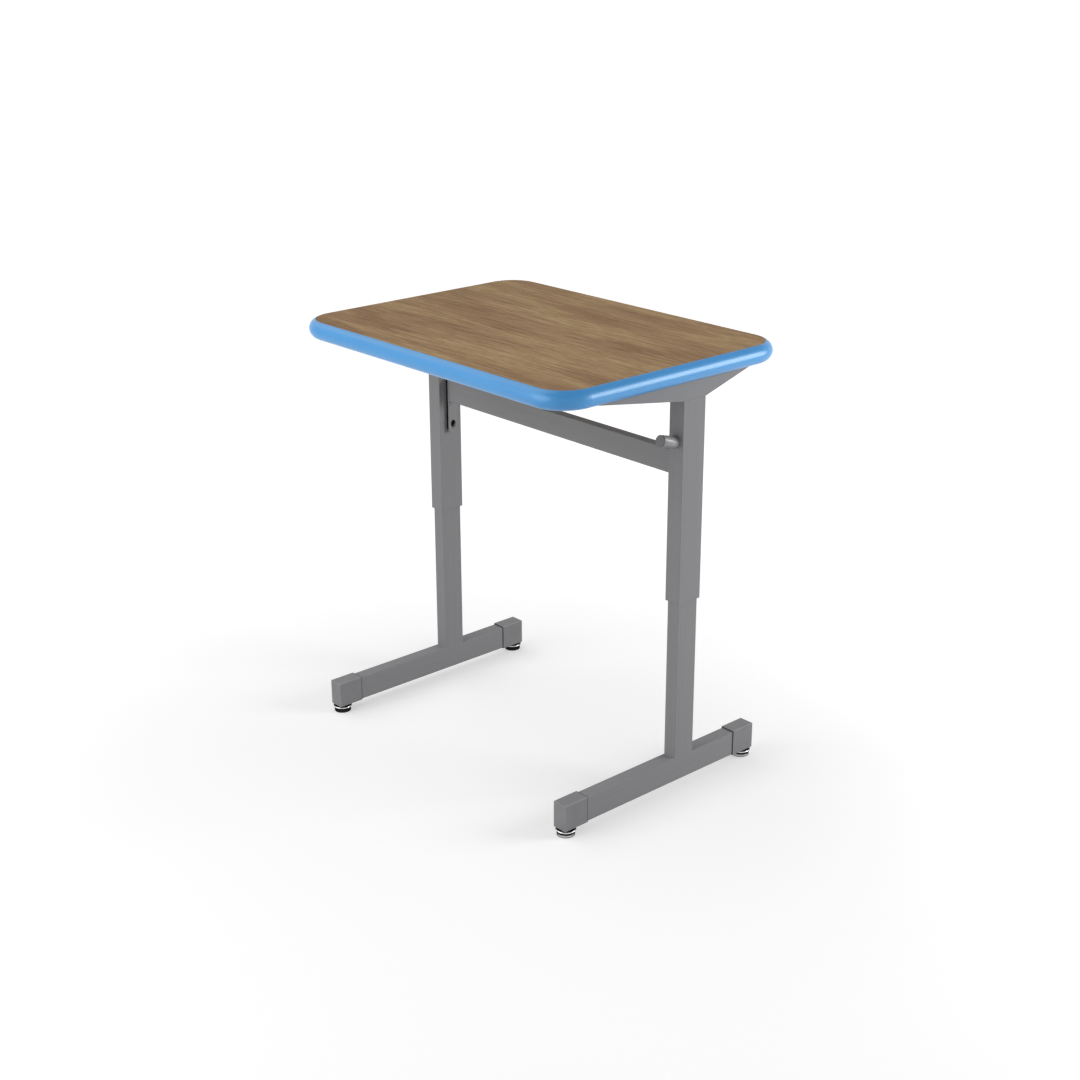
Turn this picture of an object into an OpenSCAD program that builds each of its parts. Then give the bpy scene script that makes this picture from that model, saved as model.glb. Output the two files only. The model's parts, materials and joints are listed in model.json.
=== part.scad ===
// Height-adjustable single student desk on two T-shaped telescopic legs.
// Millimetres, +Z up. The origin is on the floor under the middle of the top.
// The sitter is on the -Y side, and right means +X.

/* [Top] */
// Width of the top over its edge band
top_w = 696; // [560:1:900]
// Depth of the top over its edge band
top_d = 517; // [420:1:660]
// Height of the writing surface as the desk stands
desk_h = 768; // [740:1:940]
// Thickness of the top, which is also the height of the round edge band
top_t = 32; // [24:0.5:38]
// How far the edge band bulges out of the core
edge_bulge = 12; // [6:0.5:14]
// Corner radius of the top, measured on the outside of the edge band
corner_r = 65; // [45:1:90]
// Thickness of the wood-grain sheet on the upper face
laminate_t = 1.2; // [0.6:0.1:2]
// Thickness of the plain sheet on the lower face
backer_t = 0.8; // [0.5:0.1:2]
// Thickness of the edge band's spine, which sits in a groove in the core
spine_t = 2.4; // [1.6:0.1:4]
// Depth of the edge band's spine
spine_depth = 9; // [5:0.5:14]

/* [Legs] */
// Distance from the side of the top to the leg's centre line
leg_inset = 32; // [28:0.5:120]
// How far the legs stand behind the middle of the top
leg_y = 50.4; // [30:0.2:70]
// Width of the lower (inner) leg tube and of the foot tube
lower_w = 25.4; // [20:0.05:32]
// Depth of the lower (inner) leg tube
lower_d = 44.45; // [36:0.05:56]
// Wall of the leg and foot tubes
tube_wall = 1.9; // [1.5:0.05:2.5]
// Outer corner radius of the leg and foot tubes
tube_corner_r = 0.8; // [0.5:0.1:4]
// Inner corner radius of the leg and foot tubes
tube_inner_r = 0.4; // [0.2:0.1:2]
// Wall of the plastic sleeve between the two leg tubes
sleeve_wall = 0.975; // [0.6:0.025:2]

/* [Height adjustment] */
// How far the top can rise above the height shown
travel_up = 50.8; // [20:0.1:64]
// How far the top can sink below the height shown
travel_down = 203.2; // [100:0.1:246]
// Length of the plastic sleeve in the mouth of the upper tube
sleeve_h = 60; // [45:1:75]
// Gap between pieces that slide past each other
slide_gap = 0.3; // [0.25:0.05:0.5]
// Diameter of the two clamp bolts in each leg
lock_bolt_d = 8; // [6:0.5:10]
// Height of the lower clamp bolt above the mouth of the upper tube
lock_bolt_low = 30; // [20:1:40]
// Distance between the two clamp bolts
lock_bolt_pitch = 40; // [30:1:50]
// Thickness of the flange of the guide on top of the lower tube
guide_t = 5; // [3:0.5:8]
// Gap left between the nut bar and the guide with the top fully raised
bar_stop_gap = 4; // [1:0.5:20]

/* [Support arms] */
// Reach of the arm in front of the leg's centre line
arm_front = 214; // [160:1:260]
// Reach of the arm behind the leg's centre line
arm_rear = 127; // [90:1:160]
// Height of the arm where it stands on the leg
arm_drop = 32.3; // [26:0.1:45]
// Sheet thickness of the arm
arm_wall = 2.6; // [1.9:0.1:3.2]

/* [Crossbar] */
// Height of the crossbar
bar_h = 41.5; // [32:0.5:56]
// Depth of the crossbar and of its end plates
bar_d = 19; // [18:0.5:26]
// Wall of the crossbar
bar_wall = 1.6; // [1.2:0.1:2.4]
// Outer corner radius of the crossbar
bar_corner_r = 0.8; // [0.5:0.1:4]
// Inner corner radius of the crossbar
bar_inner_r = 0.4; // [0.2:0.1:2]
// Clear height between the crossbar and the underside of the top
bar_drop = 126; // [106:1:160]
// Thickness of the end plates
plate_t = 3.2; // [2:0.1:4]
// Height of the end plates
plate_h = 164; // [136:1:200]
// Thickness of the blocks that the end plates are screwed to
block_t = 5.3; // [5:0.1:9]

/* [Feet] */
// Reach of the foot in front of the leg's centre line
foot_front = 281; // [220:1:340]
// Reach of the foot behind the leg's centre line
foot_rear = 178; // [140:1:220]
// Height of the foot tube
foot_h = 44.45; // [36:0.05:54]
// Length of the end caps
cap_len = 50; // [40:1:62]
// Wall of the end caps beside the tube
cap_side = 1.6; // [1:0.1:2.5]
// Wall of the end caps above the tube
cap_top = 2.2; // [1:0.1:3]
// Wall of the end caps below the tube
cap_bottom = 1.2; // [0.8:0.1:3]
// Outer corner radius of the end caps
cap_r = 0.8; // [0.5:0.1:3]
// Thickness of the end caps' closed end
cap_end = 3; // [2:0.5:5]
// Thickness of the rubber seal behind each end cap
seal_t = 1.2; // [0.8:0.1:3]

/* [Glides] */
// Distance of the glide's axis from the end of the foot
glide_in = 14.4; // [11:0.1:20]
// Radius of the glide's hood
hood_r = 17.6; // [14:0.1:21]
// Radius of the hood's rolled rim
hood_rim_r = 1.4; // [1.2:0.1:2.4]
// Rise of the hood's dome above its rim
dome_h = 1.6; // [0.5:0.1:3]
// Gap under the hood in which the base tilts
tilt_gap = 2; // [1:0.1:3]
// Thickness of the rubber cushion on the base
cushion_t = 2.2; // [1:0.1:3]
// Radius of the glide's base
base_r = 15.5; // [12:0.1:18]
// Thickness of the glide's base
base_t = 4.8; // [4:0.1:7]
// Diameter of the glide's threaded stem
stem_d = 8; // [6:0.5:10]
// Clear height left above the stem inside the foot tube
stem_clear = 9.75; // [1:0.05:16]

/* [Bag peg] */
// Diameter of the bag peg
peg_d = 20; // [14:0.5:26]
// Length of the bag peg from the leg to its end
peg_len = 38.6; // [30:0.1:60]
// Upward tilt of the bag peg, in degrees
peg_tilt = 15; // [5:1:25]
// Depth of the bag peg's middle below the underside of the top
peg_drop = 104.4; // [80:0.2:140]

/* [Hidden] */
$fn = 64;
eps = 0.01;
over = 1;

// Colours
frame_grey = [0.50, 0.50, 0.51];
plastic_grey = [0.47, 0.47, 0.48];
steel = [0.72, 0.72, 0.74];
chrome = [0.88, 0.88, 0.90];
black = [0.07, 0.07, 0.08];
nylon = [0.20, 0.20, 0.21];
grain_brown = [0.55, 0.43, 0.32];
board_tan = [0.72, 0.60, 0.44];
backer_brown = [0.36, 0.30, 0.25];
edge_blue = [0.36, 0.61, 0.84];

// Sides and ends of the desk
left = -1;
right = 1;
front = -1;
rear = 1;

// Levels of the glides and the feet, from the floor up
cushion_z1 = base_t + cushion_t;
hood_z0 = cushion_z1 + tilt_gap;
hood_z1 = hood_z0 + 2 * hood_rim_r + dome_h;
hood_clear = 0.6;
glide_h = hood_z1 + hood_clear;
foot_z0 = glide_h + cap_bottom;
foot_z1 = foot_z0 + foot_h;

// Levels of the legs, from the top down
stop_gap = 3;
guide_plug = 6;
nut_bar_end = 12;
engage_min = lock_bolt_low + lock_bolt_pitch + nut_bar_end + bar_stop_gap + guide_plug;
under_z = desk_h - top_t;
arm_z = under_z - arm_drop;
upper_len = travel_up + travel_down + engage_min + guide_t + stop_gap;
upper_z0 = arm_z - upper_len;
lower_z1 = arm_z - travel_down - stop_gap - guide_t;

// Top, whose edge band is an arc between the two faces of the core
edge_half = top_t / 2;
edge_arc_r = (edge_half * edge_half + edge_bulge * edge_bulge) / (2 * edge_bulge);
core_w = top_w - 2 * edge_bulge;
core_d = top_d - 2 * edge_bulge;
core_r = corner_r - edge_bulge;
core_z0 = under_z + backer_t;
core_t = top_t - laminate_t - backer_t;
spine_fit = 0.1;

// Leg tubes, where the upper tube takes its size from what slides in it
leg_x = top_w / 2 - leg_inset;
upper_w = lower_w + 2 * (slide_gap + sleeve_wall + tube_wall);
upper_d = lower_d + 2 * (slide_gap + sleeve_wall + tube_wall);
upper_in_w = upper_w - 2 * tube_wall;
upper_in_d = upper_d - 2 * tube_wall;
lower_in_w = lower_w - 2 * tube_wall;
lower_in_d = lower_d - 2 * tube_wall;
sleeve_recess = 0.5;
plug_fit = 0.1;

// Clamp bolts, their washers and the bar that they pull against
lock_levels = [lock_bolt_low, lock_bolt_low + lock_bolt_pitch];
bolt_fit = 0.3;
thread_fit = 0.1;
slot_fit = 0.6;
slot_w = lock_bolt_d + 2 * slot_fit;
slot_z0 = upper_z0 - travel_down + lock_bolt_low - slot_w;
slot_z1 = upper_z0 + travel_up + lock_bolt_low + lock_bolt_pitch + slot_w;
washer_d = 2 * lock_bolt_d;
washer_t = 1.6;
bolt_head_d = 1.7 * lock_bolt_d;
bolt_head_end_d = 0.8 * bolt_head_d;
bolt_head_t = 4.4;
bolt_socket_af = 5;
nut_bar_side_gap = 1.8;
nut_bar_w = lower_in_w - 2 * nut_bar_side_gap;
nut_bar_t = 7;
nut_bar_y1 = lower_d / 2 - tube_wall - slide_gap;
bolt_tip = 1.5;

// Screws that hold the top to the arms
top_screw_d = 4.8;
top_screw_into = 20;
top_screw_head_d = 9.4;
top_screw_head_end_d = 0.7 * top_screw_head_d;
top_screw_head_t = 3.2;
pilot_end_gap = 1;
screw_edge = 26;
screw_leg_gap = 28;
screw_ys = [
    -arm_front + screw_edge,
    -(upper_d / 2 + screw_leg_gap),
    upper_d / 2 + screw_leg_gap,
    arm_rear - screw_edge
];

// Crossbar and its brackets, measured from the leg's inner face
inner_x = leg_x - upper_w / 2;
bar_z1 = under_z - bar_drop;
bar_mid_z = bar_z1 - bar_h / 2;
plate_x1 = inner_x - block_t;
bar_half = plate_x1 - plate_t;
plate_corner_r = 2.6;
block_inset = 0.6;
block_end_inset = 4;
bracket_screw_end = 15;
bracket_slot_zs = [-(plate_h / 2 - bracket_screw_end), plate_h / 2 - bracket_screw_end];
recess_w = 11;
recess_h = 16;
bracket_web = 1;
recess_t = plate_t - bracket_web;
bracket_screw_lift = (recess_h - recess_w) / 2;
bracket_slot_w = 6.6;
bracket_screw_d = 6;
bracket_head_d = 10.4;
bracket_head_t = 1.2;
bracket_socket_af = 4;
bracket_hole_skin = 0.6;
bracket_tip_gap = 0.4;
bracket_hole_into = block_t - bracket_hole_skin;
bracket_screw_into = bracket_hole_into - bracket_tip_gap;

// Feet and glides
cap_fit = 0.05;
seal_in = 0.3;
stem_top = foot_z1 - tube_wall - stem_clear;
stem_bore = stem_d + thread_fit;
stem_hole_fit = 0.6;
stem_hole = stem_d + 2 * stem_hole_fit;
nut_wall = 2.5;
nut_af = stem_d + 2 * nut_wall;
nut_h = 6.5;
base_edge_r = 1;
cushion_in = 0.5;
cushion_r = base_r - cushion_in;
pivot_drop = 0.4;
pivot_z = cushion_z1 - pivot_drop;
nub_r = 3.6;
nub_fit = 0.3;
hood_top_r = 9;

// Bag peg
peg_wall = 2;
peg_plug_t = 1.5;
peg_plug_in = 8;
peg_z = under_z - peg_drop;

// A rectangle with round corners, centred
module round_rect(w, d, r) {
    square([w - 2 * r, d], center = true);
    square([w, d - 2 * r], center = true);
    for (sx = [-1, 1], sy = [-1, 1])
        translate([sx * (w / 2 - r), sy * (d / 2 - r)])
            circle(r);
}

// An upright slot outline, centred
module obround(w, h) {
    square([w, h - w], center = true);
    for (s = [-1, 1])
        translate([0, s * (h - w) / 2])
            circle(d = w);
}

// An upright leg tube that starts at height z0
module upright_tube(w, d, z0, len) {
    translate([0, 0, z0])
        linear_extrude(len)
            difference() {
                round_rect(w, d, tube_corner_r);
                round_rect(w - 2 * tube_wall, d - 2 * tube_wall, tube_inner_r);
            }
}

// A bar along Y with its section drawn in X and Z
module along_y(y0, len) {
    translate([0, y0 + len, 0])
        rotate([90, 0, 0])
            linear_extrude(len)
                children();
}

// A bar along X with its section drawn in Y and Z
module along_x(x0, len) {
    translate([x0, 0, 0])
        rotate([90, 0, 90])
            linear_extrude(len)
                children();
}

// Places a piece drawn on the right leg's centre line on either leg
module on_leg(side) {
    mirror([side == left ? 1 : 0, 0, 0])
        translate([leg_x, leg_y, 0])
            children();
}

// Places a piece at a foot's end, drawn with the outward end towards -Y
module at_foot_end(side, end) {
    on_leg(side)
        translate([0, end * (end == front ? foot_front : foot_rear), 0])
            mirror([0, end == rear ? 1 : 0, 0])
                children();
}

// Places a piece on a glide's axis
module at_glide(side, end) {
    at_foot_end(side, end)
        translate([0, glide_in, 0])
            children();
}

// Outline of the core, and of the ring that the edge band's spine fills
module core_outline() {
    round_rect(core_w, core_d, core_r);
}

module spine_ring(depth) {
    difference() {
        core_outline();
        round_rect(core_w - 2 * depth, core_d - 2 * depth, core_r - depth);
    }
}

module spine_slab(t, depth) {
    translate([0, 0, desk_h - edge_half - t / 2])
        linear_extrude(t)
            spine_ring(depth);
}

// Particle-board core with the groove for the spine and the screw pilots
module top_core() color(board_tan) {
    difference() {
        translate([0, 0, core_z0])
            linear_extrude(core_t)
                core_outline();
        spine_slab(spine_t + 2 * spine_fit, spine_depth + spine_fit);
        each_top_screw()
            translate([0, 0, under_z - eps])
                cylinder(d = top_screw_d + thread_fit, h = top_screw_into + pilot_end_gap);
    }
}

module top_laminate() color(grain_brown) {
    translate([0, 0, desk_h - laminate_t])
        linear_extrude(laminate_t)
            core_outline();
}

module top_backer() color(backer_brown) {
    difference() {
        translate([0, 0, under_z])
            linear_extrude(backer_t)
                core_outline();
        each_top_screw()
            translate([0, 0, under_z - over])
                cylinder(d = top_screw_d + thread_fit, h = backer_t + 2 * over);
    }
}

// Bulging section of the edge band, flat side at X = 0
module edge_section() {
    intersection() {
        translate([edge_bulge - edge_arc_r, 0])
            circle(edge_arc_r);
        translate([0, -edge_half])
            square([2 * edge_bulge, top_t]);
    }
}

module edge_band() color(edge_blue) {
    run_x = core_w - 2 * core_r;
    run_y = core_d - 2 * core_r;
    translate([0, 0, desk_h - edge_half]) {
        for (s = [0, 1])
            mirror([s, 0, 0])
                translate([core_w / 2, 0, 0])
                    along_y(-run_y / 2, run_y)
                        edge_section();
        for (s = [0, 1])
            mirror([0, s, 0])
                translate([0, core_d / 2, 0])
                    rotate([0, 0, 90])
                        along_y(-run_x / 2, run_x)
                            edge_section();
        for (mx = [0, 1], my = [0, 1])
            mirror([mx, 0, 0])
                mirror([0, my, 0])
                    translate([core_w / 2 - core_r, core_d / 2 - core_r, 0])
                        rotate_extrude(angle = 90)
                            translate([core_r, 0])
                                edge_section();
    }
    spine_slab(spine_t, spine_depth);
}

// Tapered channel under the top, open below, that stands on the upper leg
module support_arm(side) color(frame_grey) {
    channel_w = upper_w - 2 * arm_wall;
    on_leg(side)
        translate([0, 0, under_z])
            difference() {
                along_x(-upper_w / 2, upper_w)
                    polygon([
                        [-arm_front, 0],
                        [-arm_front, -arm_wall],
                        [-upper_d / 2, -arm_drop],
                        [upper_d / 2, -arm_drop],
                        [arm_rear, -arm_wall],
                        [arm_rear, 0]
                    ]);
                translate([-channel_w / 2, -arm_front - over, -arm_drop - over])
                    cube([channel_w, arm_front + arm_rear + 2 * over, arm_drop + over - arm_wall]);
                for (y = screw_ys)
                    translate([0, y, -arm_wall - over])
                        cylinder(d = top_screw_d + 2 * bolt_fit, h = arm_wall + 2 * over);
            }
}

// Every screw's place under the top, on both arms
module each_top_screw() {
    for (side = [left, right], y = screw_ys)
        on_leg(side)
            translate([0, y, 0])
                children();
}

module top_screws() color(steel) {
    each_top_screw()
        translate([0, 0, under_z - arm_wall]) {
            cylinder(d = top_screw_d, h = arm_wall + top_screw_into);
            translate([0, 0, -top_screw_head_t])
                cylinder(d1 = top_screw_head_end_d, d2 = top_screw_head_d, h = top_screw_head_t);
        }
}

// A hole or a shaft along +Y at each clamp bolt
module each_lock_bolt() {
    for (h = lock_levels)
        translate([0, 0, upper_z0 + h])
            rotate([-90, 0, 0])
                children();
}

module upper_leg(side) color(frame_grey) {
    on_leg(side)
        difference() {
            upright_tube(upper_w, upper_d, upper_z0, upper_len);
            each_lock_bolt()
                cylinder(d = lock_bolt_d + 2 * bolt_fit, h = upper_d);
        }
}

// Plastic liner in the upper tube's mouth, which the lower tube slides in
module leg_sleeve(side) color(nylon) {
    on_leg(side)
        difference() {
            translate([0, 0, upper_z0 + sleeve_recess])
                linear_extrude(sleeve_h)
                    difference() {
                        round_rect(upper_in_w, upper_in_d, tube_inner_r);
                        round_rect(lower_w + 2 * slide_gap, lower_d + 2 * slide_gap,
                            tube_corner_r + slide_gap);
                    }
            each_lock_bolt()
                cylinder(d = lock_bolt_d + 2 * bolt_fit, h = upper_d);
        }
}

module lock_bolts(side) color(steel) {
    head_y = upper_d / 2 + washer_t;
    tip_y = nut_bar_y1 - nut_bar_t - bolt_tip;
    on_leg(side)
        each_lock_bolt() {
            translate([0, 0, tip_y])
                cylinder(d = lock_bolt_d, h = head_y - tip_y + eps);
            translate([0, 0, head_y])
                difference() {
                    cylinder(d1 = bolt_head_d, d2 = bolt_head_end_d, h = bolt_head_t);
                    translate([0, 0, bolt_head_t / 2])
                        cylinder(d = bolt_socket_af / cos(30), h = bolt_head_t, $fn = 6);
                }
        }
}

module lock_washers(side) color(steel) {
    on_leg(side)
        each_lock_bolt()
            translate([0, 0, upper_d / 2])
                difference() {
                    cylinder(d = washer_d, h = washer_t);
                    translate([0, 0, -over])
                        cylinder(d = lock_bolt_d + bolt_fit, h = washer_t + 2 * over);
                }
}

// Bar inside the lower tube with the clamp bolts' threads
module nut_bar(side) color(steel) {
    on_leg(side)
        difference() {
            translate([-nut_bar_w / 2, nut_bar_y1 - nut_bar_t, upper_z0 + lock_bolt_low - nut_bar_end])
                cube([nut_bar_w, nut_bar_t, lock_bolt_pitch + 2 * nut_bar_end]);
            each_lock_bolt()
                cylinder(d = lock_bolt_d + thread_fit, h = lower_d);
        }
}

module crossbar() color(frame_grey) {
    translate([0, leg_y, bar_mid_z])
        along_x(-bar_half, 2 * bar_half)
            difference() {
                round_rect(bar_d, bar_h, bar_corner_r);
                round_rect(bar_d - 2 * bar_wall, bar_h - 2 * bar_wall, bar_inner_r);
            }
}

// Places a bracket piece on the leg's inner face, at the crossbar's mid height
module on_bracket(side) {
    mirror([side == left ? 1 : 0, 0, 0])
        translate([0, leg_y, bar_mid_z])
            children();
}

// End plate welded to the crossbar, with a recessed slot for each screw
module crossbar_plate(side) color(frame_grey) {
    on_bracket(side)
        difference() {
            along_x(bar_half, plate_t)
                round_rect(bar_d, plate_h, plate_corner_r);
            for (z = bracket_slot_zs)
                translate([0, 0, z]) {
                    along_x(bar_half - over, recess_t + over)
                        obround(recess_w, recess_h);
                    along_x(bar_half - over, plate_t + 2 * over)
                        obround(bracket_slot_w, bracket_slot_w + recess_h - recess_w);
                }
        }
}

// Threaded block welded to the leg, behind the end plate
module bracket_block(side) color(black) {
    on_bracket(side)
        difference() {
            along_x(plate_x1, block_t)
                round_rect(bar_d - 2 * block_inset, plate_h - 2 * block_end_inset, plate_corner_r);
            for (z = bracket_slot_zs)
                translate([plate_x1 - over, 0, z + bracket_screw_lift])
                    rotate([0, 90, 0])
                        cylinder(d = bracket_screw_d + thread_fit, h = over + bracket_hole_into);
        }
}

// Screws at the upper ends of the plates' slots
module bracket_screws() color(black) {
    head_x = bar_half + recess_t;
    for (side = [left, right], z = bracket_slot_zs)
        on_bracket(side)
            translate([head_x, 0, z + bracket_screw_lift])
                rotate([0, 90, 0]) {
                    cylinder(d = bracket_screw_d, h = bracket_web + bracket_screw_into);
                    translate([0, 0, -bracket_head_t])
                        difference() {
                            cylinder(d = bracket_head_d, h = bracket_head_t);
                            translate([0, 0, -bracket_head_t / 2])
                                cylinder(d = bracket_socket_af / cos(30), h = bracket_head_t, $fn = 6);
                        }
                }
}

// Runs along the bag peg's axis, which starts on the right leg's front face
module on_peg() {
    on_leg(right)
        translate([0, -upper_d / 2, peg_z])
            rotate([90 - peg_tilt, 0, 0])
                children();
}

// Tube welded to the leg, cut to the face that it stands on
module bag_peg() color(frame_grey) {
    root = peg_d;
    difference() {
        on_peg()
            translate([0, 0, -root])
                difference() {
                    cylinder(d = peg_d, h = root + peg_len - peg_plug_t);
                    translate([0, 0, -over])
                        cylinder(d = peg_d - 2 * peg_wall, h = root + peg_len + 2 * over);
                }
        on_leg(right)
            translate([-peg_d, -upper_d / 2, peg_z - 2 * peg_d])
                cube([2 * peg_d, 4 * peg_d, 4 * peg_d]);
    }
}

module bag_peg_plug() color(plastic_grey) {
    on_peg()
        translate([0, 0, peg_len - peg_plug_t]) {
            cylinder(d = peg_d, h = peg_plug_t);
            translate([0, 0, -peg_plug_in])
                cylinder(d = peg_d - 2 * peg_wall - plug_fit, h = peg_plug_in + eps);
        }
}

// Outer section of the foot tube, drawn in X and Z
module foot_section() {
    translate([0, foot_z0 + foot_h / 2])
        round_rect(lower_w, foot_h, tube_corner_r);
}

// Lower tube, its end shaped to the foot's round edges, with the bolts' slot
module lower_leg(side) color(frame_grey) {
    start = foot_z1 - tube_corner_r;
    on_leg(side)
        difference() {
            upright_tube(lower_w, lower_d, start, lower_z1 - start);
            along_y(-lower_d, 2 * lower_d)
                foot_section();
            translate([0, 0, (slot_z0 + slot_z1) / 2])
                along_y(0, lower_d)
                    obround(slot_w, slot_z1 - slot_z0);
        }
}

// Plastic cap on the lower tube that guides it inside the upper tube
module leg_guide(side) color(nylon) {
    on_leg(side)
        translate([0, 0, lower_z1]) {
            linear_extrude(guide_t)
                round_rect(upper_in_w - 2 * slide_gap, upper_in_d - 2 * slide_gap, tube_inner_r);
            translate([0, 0, -guide_plug])
                linear_extrude(guide_plug + eps)
                    round_rect(lower_in_w - 2 * plug_fit, lower_in_d - 2 * plug_fit, tube_inner_r);
        }
}

// Clearance hole for a glide's stem through the bottom of the foot
module stem_cut() {
    cylinder(d = stem_hole, h = foot_z0 + foot_h / 2);
}

module foot_tube(side) color(frame_grey) {
    difference() {
        on_leg(side)
            along_y(-foot_front + cap_end, foot_front + foot_rear - 2 * cap_end)
                difference() {
                    foot_section();
                    translate([0, foot_z0 + foot_h / 2])
                        round_rect(lower_w - 2 * tube_wall, foot_h - 2 * tube_wall, tube_inner_r);
                }
        for (end = [front, rear])
            at_glide(side, end)
                stem_cut();
    }
}

// Outer section of an end cap, and the hole for the foot tube, about the tube's middle
module cap_outline(inset) {
    translate([0, (cap_top - cap_bottom) / 2])
        round_rect(lower_w + 2 * (cap_side - inset), foot_h + cap_top + cap_bottom - 2 * inset, cap_r);
}

module cap_hole() {
    round_rect(lower_w + 2 * cap_fit, foot_h + 2 * cap_fit, tube_corner_r);
}

// Plastic cap pushed over the end of the foot tube
module foot_cap(side, end) color(plastic_grey) {
    difference() {
        at_foot_end(side, end)
            translate([0, 0, foot_z0 + foot_h / 2])
                difference() {
                    along_y(0, cap_len)
                        cap_outline(0);
                    along_y(cap_end, cap_len)
                        cap_hole();
                }
        at_glide(side, end)
            stem_cut();
    }
}

// Rubber ring around the foot tube, against the cap's open end
module foot_seal(side, end) color(black) {
    at_foot_end(side, end)
        translate([0, 0, foot_z0 + foot_h / 2])
            along_y(cap_len, seal_t)
                difference() {
                    cap_outline(seal_in);
                    cap_hole();
                }
}

// Nuts welded inside the foot tube, which the glides' stems turn in
module glide_nuts(side) color(steel) {
    for (end = [front, rear])
        at_glide(side, end)
            translate([0, 0, foot_z0 + tube_wall])
                difference() {
                    cylinder(d = nut_af / cos(30), h = nut_h, $fn = 6);
                    translate([0, 0, -over])
                        cylinder(d = stem_bore, h = nut_h + 2 * over);
                }
}

// Stem with the round nub that the base tilts on
module glide_stem(side, end) color(steel) {
    at_glide(side, end) {
        translate([0, 0, pivot_z])
            cylinder(r = nub_r, h = hood_z0 - pivot_z + eps);
        translate([0, 0, hood_z0])
            cylinder(d = stem_d, h = stem_top - hood_z0);
        translate([0, 0, pivot_z])
            sphere(nub_r);
    }
}

// Domed steel hood with a rolled rim
module glide_hood(side, end) color(chrome) {
    rim_mid = hood_r - hood_rim_r;
    at_glide(side, end)
        rotate_extrude() {
            polygon([
                [stem_d / 2, hood_z0],
                [rim_mid, hood_z0],
                [rim_mid, hood_z0 + 2 * hood_rim_r],
                [hood_top_r, hood_z1],
                [stem_d / 2, hood_z1]
            ]);
            translate([rim_mid, hood_z0 + hood_rim_r])
                circle(hood_rim_r);
        }
}

// Round seat around the stem's nub
module nub_seat() {
    translate([0, 0, pivot_z])
        sphere(nub_r + nub_fit);
}

module glide_cushion(side, end) color(black) {
    at_glide(side, end)
        difference() {
            translate([0, 0, base_t])
                cylinder(r = cushion_r, h = cushion_z1 - base_t);
            nub_seat();
        }
}

// Steel base with a round lower edge
module glide_base(side, end) color(chrome) {
    at_glide(side, end)
        difference() {
            rotate_extrude() {
                square([base_r - base_edge_r, base_t]);
                translate([0, base_edge_r])
                    square([base_r, base_t - base_edge_r]);
                translate([base_r - base_edge_r, base_edge_r])
                    circle(base_edge_r);
            }
            nub_seat();
        }
}

top_core();
top_laminate();
top_backer();
edge_band();
support_arm(left);  // support_arm_left
support_arm(right);  // support_arm_right
top_screws();
upper_leg(left);  // upper_leg_left
upper_leg(right);  // upper_leg_right
leg_sleeve(left);  // leg_sleeve_left
leg_sleeve(right);  // leg_sleeve_right
lock_bolts(left);  // lock_bolts_left
lock_bolts(right);  // lock_bolts_right
lock_washers(left);  // lock_washers_left
lock_washers(right);  // lock_washers_right
nut_bar(left);  // nut_bar_left
nut_bar(right);  // nut_bar_right
crossbar();
crossbar_plate(left);  // crossbar_plate_left
crossbar_plate(right);  // crossbar_plate_right
bracket_block(left);  // bracket_block_left
bracket_block(right);  // bracket_block_right
bracket_screws();
bag_peg();
bag_peg_plug();
lower_leg(left);  // lower_leg_left
lower_leg(right);  // lower_leg_right
leg_guide(left);  // leg_guide_left
leg_guide(right);  // leg_guide_right
foot_tube(left);  // foot_tube_left
foot_tube(right);  // foot_tube_right
foot_cap(left, front);  // foot_cap_left_front
foot_cap(left, rear);  // foot_cap_left_rear
foot_cap(right, front);  // foot_cap_right_front
foot_cap(right, rear);  // foot_cap_right_rear
foot_seal(left, front);  // foot_seal_left_front
foot_seal(left, rear);  // foot_seal_left_rear
foot_seal(right, front);  // foot_seal_right_front
foot_seal(right, rear);  // foot_seal_right_rear
glide_nuts(left);  // glide_nuts_left
glide_nuts(right);  // glide_nuts_right
glide_stem(left, front);  // glide_stem_left_front
glide_stem(left, rear);  // glide_stem_left_rear
glide_stem(right, front);  // glide_stem_right_front
glide_stem(right, rear);  // glide_stem_right_rear
glide_hood(left, front);  // glide_hood_left_front
glide_hood(left, rear);  // glide_hood_left_rear
glide_hood(right, front);  // glide_hood_right_front
glide_hood(right, rear);  // glide_hood_right_rear
glide_cushion(left, front);  // glide_cushion_left_front
glide_cushion(left, rear);  // glide_cushion_left_rear
glide_cushion(right, front);  // glide_cushion_right_front
glide_cushion(right, rear);  // glide_cushion_right_rear
glide_base(left, front);  // glide_base_left_front
glide_base(left, rear);  // glide_base_left_rear
glide_base(right, front);  // glide_base_right_front
glide_base(right, rear);  // glide_base_right_rear
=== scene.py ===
"""Looks of the height-adjustable student desk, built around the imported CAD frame."""
import json
from math import cos, pi, radians, sin

import bmesh
import bpy
from mathutils import Euler, Matrix, Vector


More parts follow.
